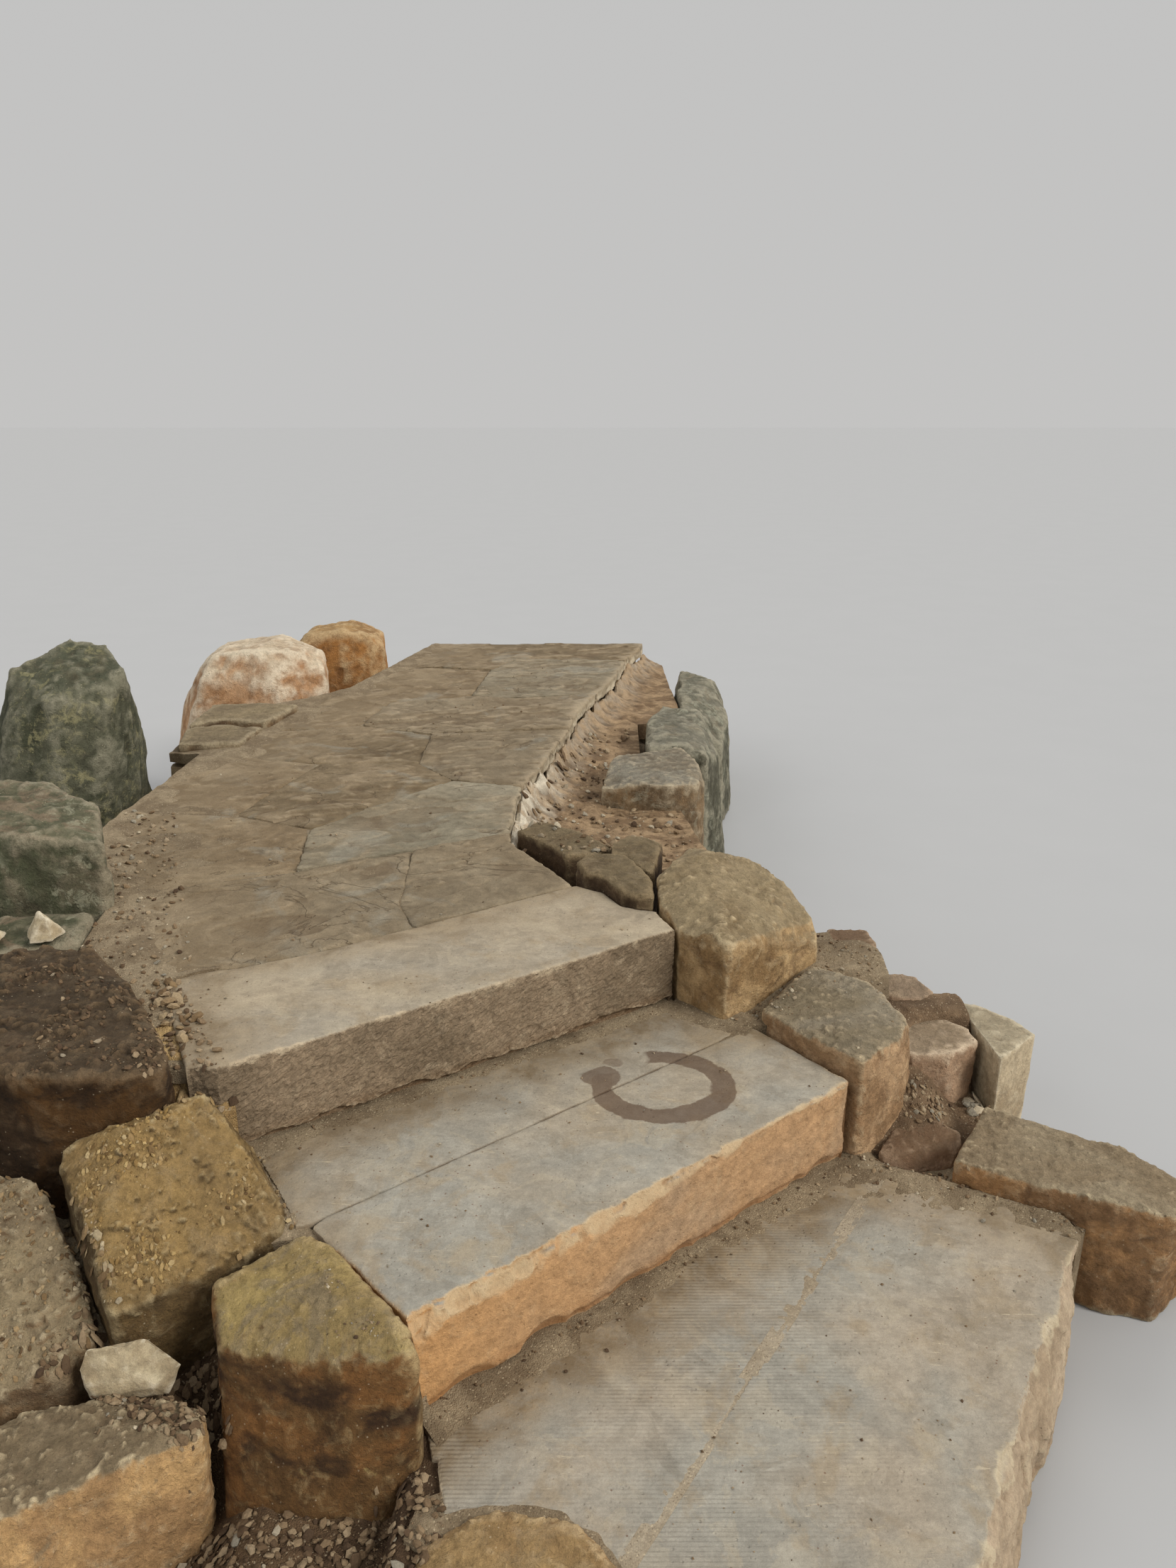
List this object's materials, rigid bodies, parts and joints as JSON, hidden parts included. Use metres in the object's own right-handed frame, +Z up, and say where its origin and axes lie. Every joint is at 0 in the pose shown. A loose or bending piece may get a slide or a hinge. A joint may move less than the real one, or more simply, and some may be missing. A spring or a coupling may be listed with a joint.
{
  "type": "outdoor stone steps",
  "caption": "Short flight of sandstone block steps turning right to a flagged landing, held by rough boulders on both sides.",
  "frame": {"origin": "lower ground level, under the middle of the bounding box of the plan", "axes": "+Y away along the landing (the way a climber walks off the top step), +Z up, +X to the climber's right"},
  "size_m": [3.2, 4.56, 0.98],
  "materials": {
    "sawn_sandstone": "sawn tread tops, rock-faced risers",
    "riven_flagstone": "riven, dusty",
    "rubble_mortar": "rough rubble in pale mortar",
    "orange_boulder": "rough split sandstone",
    "brown_boulder": "rough weathered stone",
    "pale_boulder": "rough pale stone",
    "mossy_boulder": "rough stone with lichen"
  },
  "bodies": {
    "root": {"step_1_front_block": "sawn_sandstone", "step_1_back_block": "sawn_sandstone", "step_2_front_block": "sawn_sandstone", "step_2_back_block": "sawn_sandstone", "step_3_block": "sawn_sandstone", "step_2_bed": "rubble_mortar", "step_3_bed": "rubble_mortar", "landing_bed": "rubble_mortar", "rubble_ledge": "rubble_mortar", "landing_flag_01": "riven_flagstone", "landing_flag_02": "riven_flagstone", "landing_flag_03": "riven_flagstone", "landing_flag_04": "riven_flagstone", "landing_flag_05": "riven_flagstone", "landing_flag_06": "riven_flagstone", "landing_flag_07": "riven_flagstone", "landing_flag_08": "riven_flagstone", "landing_flag_09": "riven_flagstone", "landing_flag_10": "riven_flagstone", "landing_flag_11": "riven_flagstone", "landing_flag_12": "riven_flagstone", "left_boulder_by_step_2": "orange_boulder", "left_boulder_by_step_3": "orange_boulder", "left_boulder_by_landing": "brown_boulder", "left_mossy_boulder_front": "mossy_boulder", "left_mossy_boulder_back": "mossy_boulder", "left_corner_boulder": "pale_boulder", "left_flat_boulder": "brown_boulder", "left_base_stone": "mossy_boulder", "left_pale_boulder": "pale_boulder", "left_orange_boulder": "orange_boulder", "left_edge_flats": "riven_flagstone", "left_small_stones": "pale_boulder", "left_fill": "rubble_mortar", "front_low_stone": "orange_boulder", "right_corner_boulder": "orange_boulder", "right_curb_boulder": "orange_boulder", "right_wedge_stone": "brown_boulder", "right_square_stone": "pale_boulder", "right_small_stones": "brown_boulder", "right_fill": "rubble_mortar", "right_long_slab": "orange_boulder", "ledge_slabs": "brown_boulder", "ledge_boulder_front": "pale_boulder", "ledge_boulder_middle": "mossy_boulder", "ledge_boulder_back": "pale_boulder"}
  },
  "joints": []
}
